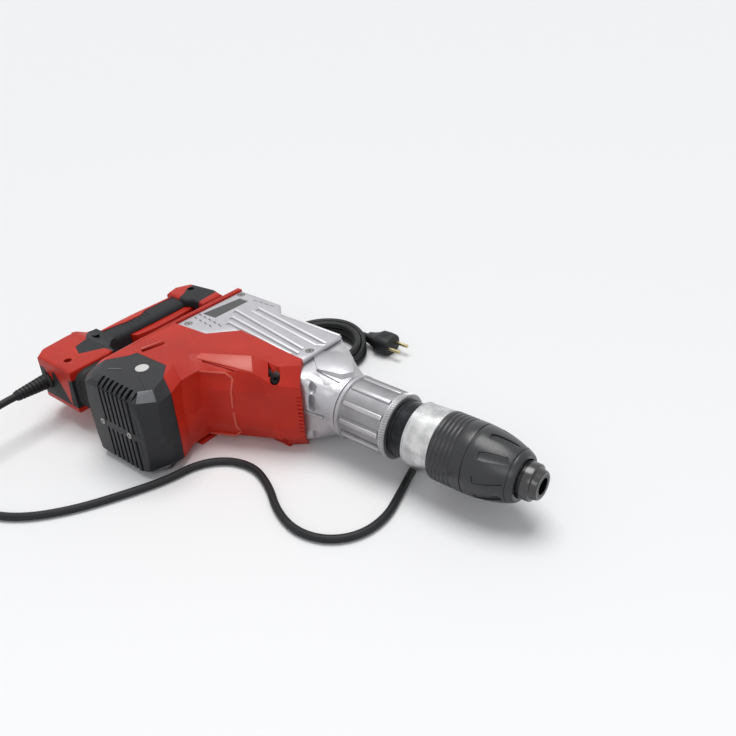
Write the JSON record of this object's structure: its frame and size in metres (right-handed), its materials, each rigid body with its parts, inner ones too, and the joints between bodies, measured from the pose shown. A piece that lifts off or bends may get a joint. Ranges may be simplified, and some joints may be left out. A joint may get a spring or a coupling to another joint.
{
  "type": "demolition hammer",
  "caption": "Heavy electric demolition hammer lying on its side: red housing, cast gearbox, ribbed neck, locking chuck sleeve, damped D-handle and power cord.",
  "frame": {"origin": "centre of the tool socket's mouth at the front of the nose", "axes": "+X forward along the barrel, +Y towards the tool's top, +Z its right side, which faces up as it lies"},
  "size_m": [0.6156, 0.5405, 0.11],
  "materials": {
    "red_plastic": "satin moulded shell",
    "black_plastic": "fine moulded texture",
    "black_rubber": "soft overmould",
    "cord_rubber": "smooth cord jacket",
    "trigger_red": "satin",
    "cast_aluminium": "fine sand-cast",
    "painted_silver": "silver painted casting",
    "brushed_aluminium": "turned and brushed",
    "hardened_steel": "ground",
    "dark_steel": "oiled black",
    "spring_steel": "drawn wire",
    "zinc_screws": "zinc plated",
    "laminations": "stacked sheet",
    "copper": "varnished winding",
    "carbon": "pressed carbon",
    "seal_plastic": "sliding ring",
    "brass_pins": "nickel plated"
  },
  "bodies": {
    "root": {"crank_case": "cast_aluminium", "side_cover_right": "painted_silver", "side_cover_left": "painted_silver", "housing_right": "red_plastic", "housing_left": "red_plastic", "vent_cap": "black_plastic", "barrel_neck": "cast_aluminium", "collar_band": "dark_steel", "tool_holder": "hardened_steel", "dust_cap": "black_rubber", "circlip": "dark_steel", "sleeve_spring": "spring_steel", "guide_cylinder": "hardened_steel", "crank_bearings": "hardened_steel", "motor_bearings": "hardened_steel", "bearing_flange": "cast_aluminium", "stator": "laminations", "field_coils": "copper", "fan_baffle": "black_plastic", "end_bracket": "black_plastic", "brush_holders": "zinc_screws", "carbon_brushes": "carbon", "brush_springs": "spring_steel", "casing_screws": "dark_steel", "guide_pins": "hardened_steel", "lower_boot": "black_rubber", "upper_boot": "black_rubber", "damper_springs": "spring_steel"},
    "armature": {"armature_shaft": "hardened_steel", "armature_core": "laminations", "armature_windings": "copper", "commutator": "copper", "cooling_fan": "black_plastic"},
    "crank": {"crank_shaft": "hardened_steel", "crank_gear": "hardened_steel"},
    "piston_group": {"piston": "cast_aluminium", "piston_ring": "seal_plastic", "wrist_pin": "hardened_steel"},
    "rod": {"connecting_rod": "cast_aluminium", "crank_pin": "hardened_steel"},
    "striker_group": {"striker": "hardened_steel", "striker_ring": "seal_plastic"},
    "bolt": {"impact_bolt": "hardened_steel"},
    "sleeve": {"locking_sleeve": "black_plastic", "release_ring": "dark_steel", "sleeve_ring": "brushed_aluminium"},
    "roller_upper": {"locking_roller_right": "hardened_steel"},
    "roller_lower": {"locking_roller_left": "hardened_steel"},
    "handle": {"handle_right": "red_plastic", "handle_left": "red_plastic", "grip_cover": "black_rubber", "switch_module": "black_plastic", "trigger_pin": "hardened_steel", "handle_screws": "dark_steel", "cord_guard": "black_rubber", "cord": "cord_rubber", "cord_coil": "cord_rubber", "plug": "black_rubber", "plug_pins": "brass_pins"},
    "trigger": {"trigger": "trigger_red"}
  },
  "joints": [
    {"name": "armature_spin", "type": "hinge", "parent": "root", "child": "armature", "pos_m": [-0.4286, 0, 0], "axis": [0, 1, 0], "continuous": true},
    {"name": "crank_spin", "type": "hinge", "parent": "root", "child": "crank", "pos_m": [-0.38485, 0, 0], "axis": [0, 1, 0], "continuous": true},
    {"name": "piston_slide", "type": "slide", "parent": "root", "child": "piston_group", "axis": [1, 0, 0], "range_m": [-0.028, 0]},
    {"name": "rod_swing", "type": "hinge", "parent": "piston_group", "child": "rod", "pos_m": [-0.29385, 0, 0], "axis": [0, 1, 0], "range_deg": [-10.5, 10.5]},
    {"name": "striker_slide", "type": "slide", "parent": "root", "child": "striker_group", "axis": [1, 0, 0], "range_m": [0, 0.018]},
    {"name": "bolt_slide", "type": "slide", "parent": "root", "child": "bolt", "axis": [1, 0, 0], "range_m": [0, 0.006]},
    {"name": "sleeve_slide", "type": "slide", "parent": "root", "child": "sleeve", "axis": [-1, 0, 0], "range_m": [0, 0.01], "stiffness_N_per_m": 400, "springref_m": -0.01, "deforming": ["sleeve_spring"]},
    {"name": "roller_upper_slide", "type": "slide", "parent": "root", "child": "roller_upper", "axis": [0, 0, 1], "range_m": [0, 0.0022]},
    {"name": "roller_lower_slide", "type": "slide", "parent": "root", "child": "roller_lower", "axis": [0, 0, -1], "range_m": [0, 0.0022]},
    {"name": "handle_slide", "type": "slide", "parent": "root", "child": "handle", "axis": [1, 0, 0], "range_m": [0, 0.005], "stiffness_N_per_m": 9000, "springref_m": -0.003, "deforming": ["lower_boot", "upper_boot", "damper_springs"]},
    {"name": "trigger_pull", "type": "hinge", "parent": "handle", "child": "trigger", "pos_m": [-0.574, 0.05, 0], "axis": [0, 0, -1], "range_deg": [0, 4], "stiffness_Nm_per_rad": 1.5, "springref_deg": -5.73}
  ],
  "couplings": [
    {"joint": "crank_spin", "follows": "armature_spin", "ratio": -0.16667},
    {"joint": "roller_upper_slide", "follows": "sleeve_slide", "ratio": 0.22},
    {"joint": "roller_lower_slide", "follows": "sleeve_slide", "ratio": 0.22}
  ]
}
